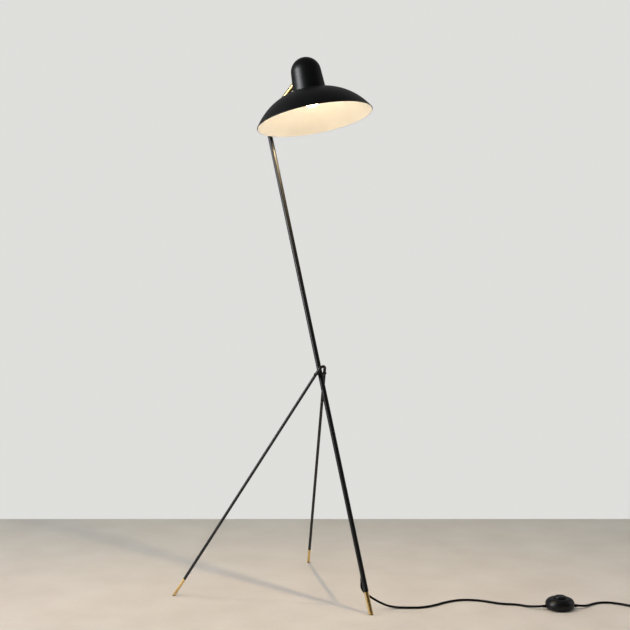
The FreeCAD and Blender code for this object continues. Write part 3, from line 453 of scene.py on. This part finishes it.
def paint_far_floor_shade(material, ahead):
    """Painted shade: the floor's colour is made a little darker and greyer towards its far edge."""
    tree = material.node_tree
    shader = tree.nodes["Principled BSDF"]
    plain = shader.inputs["Base Color"].links[0].from_socket
    place = node_at(tree, "ShaderNodeTexCoord")
    along = node_at(tree, "ShaderNodeVectorMath", operation="DOT_PRODUCT")
    along.inputs[1].default_value = ahead
    tree.links.new(place.outputs["Object"], along.inputs[0])
    share = node_at(tree, "ShaderNodeMapRange", interpolation_type="SMOOTHSTEP")
    share.inputs["From Min"].default_value = -0.2
    share.inputs["From Max"].default_value = 1.1
    tree.links.new(along.outputs["Value"], share.inputs["Value"])
    # painted shade multiplied over the floor's own colour
    mix = node_at(tree, "ShaderNodeMix", data_type="RGBA", blend_type="MULTIPLY")
    mix.inputs["B"].default_value = FAR_FLOOR_SHADE_TONE
    tree.links.new(share.outputs["Result"], mix.inputs["Factor"])
    tree.links.new(plain, mix.inputs["A"])
    tree.links.new(mix.outputs["Result"], shader.inputs["Base Color"])


def make_floor():
    """A pale floor, lightly mottled, with painted shade darkening it towards its far edge."""
    ahead = CAMERA_AHEAD.normalized()
    right = ahead.cross(UP)
    builder = bmesh.new()
    corners = []
    for along, across in ((FLOOR_BEHIND, -1), (FLOOR_BEHIND, 1),
                          (-FLOOR_AHEAD, 1), (-FLOOR_AHEAD, -1)):
        place = FRONT_FOOT + ahead * along + right * (across * FLOOR_HALF_WIDTH)
        corners.append(builder.verts.new((place.x, place.y, 0)))
    builder.faces.new(corners)
    mesh = bpy.data.meshes.new("floor")
    builder.to_mesh(mesh)
    builder.free()
    floor = new_object("floor", mesh)
    made = finish(
        "pale_floor", ((0.595, 0.53, 0.462), (0.655, 0.595, 0.527)), (0.5, 0.65),
        blotch=0.16, grain=0.004, relief=0.05, depth=0.0004, stretch=(1, 0.3, 1))
    paint_far_floor_shade(made, ahead)
    mesh.materials.append(made)


def make_world():
    """A plain light backdrop, and soft light that is weaker from the camera's side.

    Mirrored rays see a darker room, so that black paint stays black.
    """
    world = bpy.data.worlds.new("studio")
    bpy.context.scene.world = world
    world.use_nodes = True
    tree = world.node_tree
    background = tree.nodes["Background"]
    direction = node_at(tree, "ShaderNodeTexCoord")
    facing = node_at(tree, "ShaderNodeVectorMath", operation="DOT_PRODUCT")
    facing.inputs[1].default_value = CAMERA_AHEAD.normalized()
    tree.links.new(direction.outputs["Generated"], facing.inputs[0])
    rays = node_at(tree, "ShaderNodeLightPath")

    def ahead_of(low, high):
        node = node_at(tree, "ShaderNodeMapRange", interpolation_type="SMOOTHSTEP")
        node.inputs["From Min"].default_value = low
        node.inputs["From Max"].default_value = high
        tree.links.new(facing.outputs["Value"], node.inputs["Value"])
        return node.outputs["Result"]

    def blend(first, second, factor):
        node = node_at(tree, "ShaderNodeMix", data_type="RGBA")
        for socket, value in (("A", first), ("B", second)):
            if isinstance(value, tuple):
                node.inputs[socket].default_value = value
            else:
                tree.links.new(value, node.inputs[socket])
        tree.links.new(factor, node.inputs["Factor"])
        return node.outputs["Result"]

    light = blend((0.16, 0.165, 0.17, 1), (0.74, 0.75, 0.76, 1), ahead_of(-0.75, 0.25))
    mirrored = blend((0.02, 0.02, 0.019, 1), (0.20, 0.20, 0.20, 1), ahead_of(0.1, 0.95))
    seen = blend(light, mirrored, rays.outputs["Is Glossy Ray"])
    seen = blend(seen, PLAIN_BACKDROP, rays.outputs["Is Camera Ray"])
    tree.links.new(seen, background.inputs["Color"])


LIGHTS_AIM = Vector((0, 0, 0.75))


def soft_box(name, right, ahead, height, size, power, colour=(1, 1, 1), mirrored=True,
             scattered=True):
    """A large soft light at a place given from the front foot, facing the lamp's middle."""
    forward = CAMERA_AHEAD.normalized()
    place = FRONT_FOOT + forward.cross(UP) * right + forward * ahead + UP * height
    data = bpy.data.lights.new(name, "AREA")
    data.shape = "RECTANGLE"
    data.size, data.size_y = size
    data.energy = power
    data.color = colour
    light = new_object(name, data)
    light.location = place
    aim(light, LIGHTS_AIM - place)
    light.visible_camera = False
    light.visible_glossy = mirrored
    light.visible_diffuse = scattered


BULB_LIGHT_HEIGHT = 25.0        # in the head's frame, just under the bulb's tip
BULB_LIGHT_SPREAD = math.radians(148)


def make_lights():
    """A window and its reflection, a weak fill, a light above, and the lit bulb."""
    soft_box("window", -2.6, -0.3, 1.5, (1.7, 1.8), 36, (0.93, 0.96, 1.0), mirrored=False)
    soft_box("glint", -2.3, -0.6, 1.5, (1.1, 1.8), 88, (0.93, 0.96, 1.0), scattered=False)
    soft_box("fill_right", 2.8, 0.6, 1.4, (1.6, 2.2), 8)
    soft_box("top", 0.0, -0.6, 3.2, (2.6, 2.6), 22, (0.96, 0.98, 1.0), mirrored=False)
    data = bpy.data.lights.new("bulb_light", "SPOT")
    data.energy = 19.0
    data.color = (1.0, 0.74, 0.42)
    data.spot_size = BULB_LIGHT_SPREAD
    data.spot_blend = 0.2
    data.shadow_soft_size = 0.008
    light = new_object("bulb_light", data)
    light.location = HEAD_FRAME @ Vector((0, 0, BULB_LIGHT_HEIGHT))
    aim(light, -HEAD_UP)
    light.visible_camera = False
    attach(light, "head")


make_camera()
CORD_TO_SWITCH = make_cord("cord_to_switch", [on_floor_plan(point) for point in LAMP_ROUTE],
                           "cord_lamp_side")
CORD_TO_PLUG = make_cord(
    "cord_to_plug",
    [on_floor_plan(point) for point in PLUG_ROUTE] + coil_points()
    + [on_floor_plan(point) for point in TAIL_ROUTE],
    "cord_plug_side", "cord_coil", "cord_tail")
make_floor()
make_world()
make_lights()
bpy.context.scene.view_settings.view_transform = "Standard"


# ---- Shade ----

# Radii and heights in the head's frame, in millimetres, as in the CAD source.
SHADE_R = 155.0
RIM_HEIGHT = -5.5
SHEET = 1.2                     # thickness of the sheet metal
SKIN = 0.8                      # how much of the sheet the black skin takes
DISH_MID = (104.3, 47.6)        # a point of the dish's arc
DISH_TOP = 71.5
LAND_R = 46.0                   # of the flat land that the dome stands on
NECK_R = 34.0                   # of the opening between the dish and the dome
BEAD_R = 1.3                    # of the rolled rim
DISH_SEGMENTS = 160
BEAD_CENTRE = Vector((SHADE_R - BEAD_R, RIM_HEIGHT + 0.6))


def dish_face(inset, steps=40):
    """The dish's section from its rim to its land, that far inside its outer face."""
    arc = arc_through((SHADE_R, RIM_HEIGHT), DISH_MID, (LAND_R, DISH_TOP), steps)
    moved = []
    for before, here, after in zip(arc[:1] + arc[:-1], arc, arc[1:] + arc[-1:]):
        along = (after - before).normalized()
        moved.append(here + Vector((-along.y, along.x)) * inset)
    return moved


def bead(first, last, steps=10):
    """Points round the rim's bead between two angles, in degrees."""
    points = []
    for step in range(steps + 1):
        angle = math.radians(first + (last - first) * step / steps)
        points.append(BEAD_CENTRE + Vector((math.cos(angle), math.sin(angle))) * BEAD_R)
    return points


def make_shade():
    """The dish as two skins, black outside and white inside, that meet at the rolled rim."""
    outer = dish_face(0)
    between = dish_face(SKIN)
    inner = dish_face(SHEET)
    between_top = DISH_TOP - SKIN
    inner_top = DISH_TOP - SHEET
    black = outer[1:] + [Vector((NECK_R, DISH_TOP)), Vector((NECK_R, between_top)),
                         Vector((LAND_R - 0.2, between_top))]
    black += list(reversed(between[3:-1])) + bead(-90, 10)
    shell = turned(black, HEAD_FRAME, DISH_SEGMENTS)
    add_piece("shade_shell", shell, "head", "black_paint", "shade_dish")
    white = bead(-90, -205) + inner[4:-1]
    white += [Vector((LAND_R - 0.5, inner_top)), Vector((NECK_R, inner_top)),
              Vector((NECK_R, between_top)), Vector((LAND_R - 0.2, between_top))]
    white += list(reversed(between[3:-1]))
    lining = turned(white, HEAD_FRAME, DISH_SEGMENTS)
    add_piece("shade_lining", lining, "head", "white_enamel")


DOME_BASE_R = 44.0
DOME_R = 40.3
DOME_TOP = 164.5
DOME_STEPS = 30                 # along the quarter circle of the top
ADAPTER_HEIGHT = 113.0          # of the hole for the arm's adapter
ADAPTER_HOLE_R = 5.0


def dome_face(inset):
    """The dome's section from its foot to its top, that far inside its outer face."""
    equator = DOME_TOP - DOME_R
    radius = DOME_R - inset
    points = [Vector((DOME_BASE_R - inset, DISH_TOP + inset))]
    for step in range(DOME_STEPS + 1):
        angle = math.radians(90 * step / DOME_STEPS)
        points.append(Vector((radius * math.cos(angle), equator + radius * math.sin(angle))))
    points[-1].x = 0
    return points


def make_dome():
    """The round-topped cover of the lamp holder, with the hole for the arm's adapter."""
    outer = dome_face(0)
    inner = dome_face(SHEET)
    foot = rounded([(NECK_R, DISH_TOP), (DOME_BASE_R, DISH_TOP, 0.5), tuple(outer[1])])[:-1]
    outline = foot + outer[1:] + list(reversed(inner))
    outline.append(Vector((NECK_R, DISH_TOP + SHEET)))
    shell = add_piece("dome_shell", turned(outline, HEAD_FRAME, 128), "head", "black_paint", "dome")
    hole = frame_on(HEAD_FRAME @ Vector((0, 0, ADAPTER_HEIGHT)), -HEAD_FRAME.to_3x3().col[0])
    cut(shell, turned(bar(ADAPTER_HOLE_R, 25, 60), hole, 48))


make_shade()
make_dome()


# ---- Hub screws, gland and foot switch ----

HUB_SEAT = 18.6                 # from the plane of symmetry to under the screws' heads
SCREW_HEAD_R = 3.5
SCREW_HEAD_HEIGHT = 2.2
SCREW_SHANK_R = 2.0


def make_hub_screws():
    """Two screws with rounded heads and hexagon sockets."""
    builder = bmesh.new()
    places = [frame_on(HUB + SIDE * (turn * HUB_SEAT * MM), SIDE * turn, UP) for turn in (-1, 1)]
    for place in places:
        outline = rounded([(0, -15), (SCREW_SHANK_R, -15), (SCREW_SHANK_R, 0),
                           (SCREW_HEAD_R, 0, 0.2), (SCREW_HEAD_R, SCREW_HEAD_HEIGHT, 0.8),
                           (0, SCREW_HEAD_HEIGHT)])
        turned(outline, place, 40, builder)
    screws = add_piece("hub_screw_pair", builder, "stand", "black_paint", "hub_screws")
    for place in places:
        cut(screws, turned(bar(1.5, 1.0, 3.0), place, 6))


GLAND_ALONG_POLE = 106.0
GLAND_LEAN = math.radians(26.0)
GLAND_LENGTH = 20.0
POLE_R = 6.5


def make_gland():
    """The tapered cord relief at the pole's underside, with shallow ribs."""
    behind = POLE_UP.cross(SIDE)
    away = behind * math.sin(GLAND_LEAN) - POLE_UP * math.cos(GLAND_LEAN)
    place = frame_on(POLE_FRAME @ Vector((0, 0, GLAND_ALONG_POLE)), away)
    outline = [(3.0, 4.0), (5.0, 4.0)]
    for low in (9.5, 12.5, 15.5):
        wide = 5.0 - 1.1 * (low - 4) / 16
        outline += [(wide, low, 0.15), (wide - 0.45, low + 0.3, 0.1),
                    (wide - 0.5, low + 1.1, 0.1), (wide - 0.1, low + 1.4, 0.15)]
    outline += [(3.9, GLAND_LENGTH, 0.5), (3.0, GLAND_LENGTH)]
    gland = add_piece("cord_relief", turned(rounded(outline, 3), place, 48), "stand",
                      "black_rubber", "cord_gland")
    cut(gland, turned(bar(POLE_R, 60, 160), POLE_FRAME, 64))


SWITCH_TURN = math.radians(49.0)
SWITCH_AHEAD = Vector((math.cos(SWITCH_TURN), math.sin(SWITCH_TURN), 0))
SWITCH_R = 38.5
SWITCH_HEIGHT = 29.0
SWITCH_SPLIT = 10.0
SWITCH_WALL = 2.2
BUTTON_R = 15.0
BUTTON_TOP = 35.0
BUTTON_LOW = 18.4
SPRING_TOP = 31.4
PORT_R = 4.6


def pebble_side(inset):
    """The cover's section from its foot to the flat around the button."""
    side = SWITCH_R - inset
    high = SWITCH_HEIGHT - inset
    return arc_through((side, SWITCH_SPLIT + 2), (side - 4.6, high - 4.2),
                       (BUTTON_R + 5 - inset, high), 24)


def make_switch():
    """The upper shell with its parting line and raised ring, and the dished button."""
    foot = centre("switch_foot_ring")
    place = frame_on(Vector((foot.x, foot.y, 0)), UP, UP.cross(SWITCH_AHEAD))
    collar_r = BUTTON_R + 2.2
    hole_r = BUTTON_R + 0.4
    collar_top = SWITCH_HEIGHT + 1.6
    collar = rounded([(collar_r, SWITCH_HEIGHT), (collar_r, collar_top, 0.5),
                      (hole_r, collar_top, 0.5), (hole_r, SWITCH_HEIGHT - 8),
                      (collar_r, SWITCH_HEIGHT - 8), (collar_r, SWITCH_HEIGHT - SWITCH_WALL)])
    outline = [Vector((SWITCH_R - 0.9, SWITCH_SPLIT)),
               Vector((SWITCH_R - 0.1, SWITCH_SPLIT + 0.7))]
    outline += pebble_side(0) + collar + list(reversed(pebble_side(SWITCH_WALL)))
    outline.append(Vector((SWITCH_R - SWITCH_WALL - 0.1, SWITCH_SPLIT)))
    cover = add_piece("switch_shell", turned(outline, place, 96), "stand", "black_plastic",
                      "switch_cover")
    ports = frame_on(place @ Vector((0, 0, PORT_HEIGHT)), SWITCH_AHEAD)
    cut(cover, turned(bar(PORT_R, -60, 60), ports, 40))
    button = rounded([(0, BUTTON_TOP - 0.9), (9.5, BUTTON_TOP - 0.7, 6.0),
                      (11.5, BUTTON_TOP, 0.8), (BUTTON_R - 1.0, BUTTON_TOP - 0.3, 0.8),
                      (BUTTON_R, BUTTON_TOP - 2.5, 0.8), (BUTTON_R, BUTTON_LOW + 2.2),
                      (BUTTON_R + 2, BUTTON_LOW + 2.2, 0.3), (BUTTON_R + 2, BUTTON_LOW),
                      (BUTTON_R - 2.5, BUTTON_LOW), (BUTTON_R - 2.5, SPRING_TOP),
                      (1.2, SPRING_TOP), (1.2, BUTTON_LOW + 1.6), (0, BUTTON_LOW + 1.6)])
    add_piece("push_button", turned(button, place, 80), "button", "black_plastic", "switch_button")


make_hub_screws()
make_gland()
make_switch()


# ---- Finish ----

EDGE_ROUNDING = 0.35 * MM
WELD_REACH = 2e-6
ROUNDED_NODES = ("front_ferrule", "rear_ferrule_left", "rear_ferrule_right", "swivel_fork",
                 "tilt_screw", "tilt_nut", "tilt_tongue", "adapter_nut", "socket_nut",
                 "coil_tie", "switch_base")


def dress_cad_nodes():
    """Every CAD node still shown gets its slot's finish, welded and smooth between its edges."""
    for name, node in frame["nodes"].items():
        if node.hide_render:
            continue
        node.data.materials.clear()
        node.data.materials.append(FINISHES[SLOT_OF[name]])
        node.data.shade_smooth()
        weld = node.modifiers.new("weld", "WELD")
        weld.merge_threshold = WELD_REACH
        if name in ROUNDED_NODES:
            flat = node.modifiers.new("flat", "DECIMATE")
            flat.decimate_type = "DISSOLVE"
            flat.angle_limit = math.radians(0.5)
            soft = node.modifiers.new("rounding", "BEVEL")
            soft.width = EDGE_ROUNDING
            soft.segments = 3
            soft.limit_method = "ANGLE"
            soft.angle_limit = math.radians(40)
        edges = node.modifiers.new("edges", "EDGE_SPLIT")
        edges.split_angle = SHARP


def squash_spring():
    """The spring of the foot switch gets its own copy of its mesh."""
    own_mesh(frame["nodes"]["button_spring"])


dress_cad_nodes()
squash_spring()
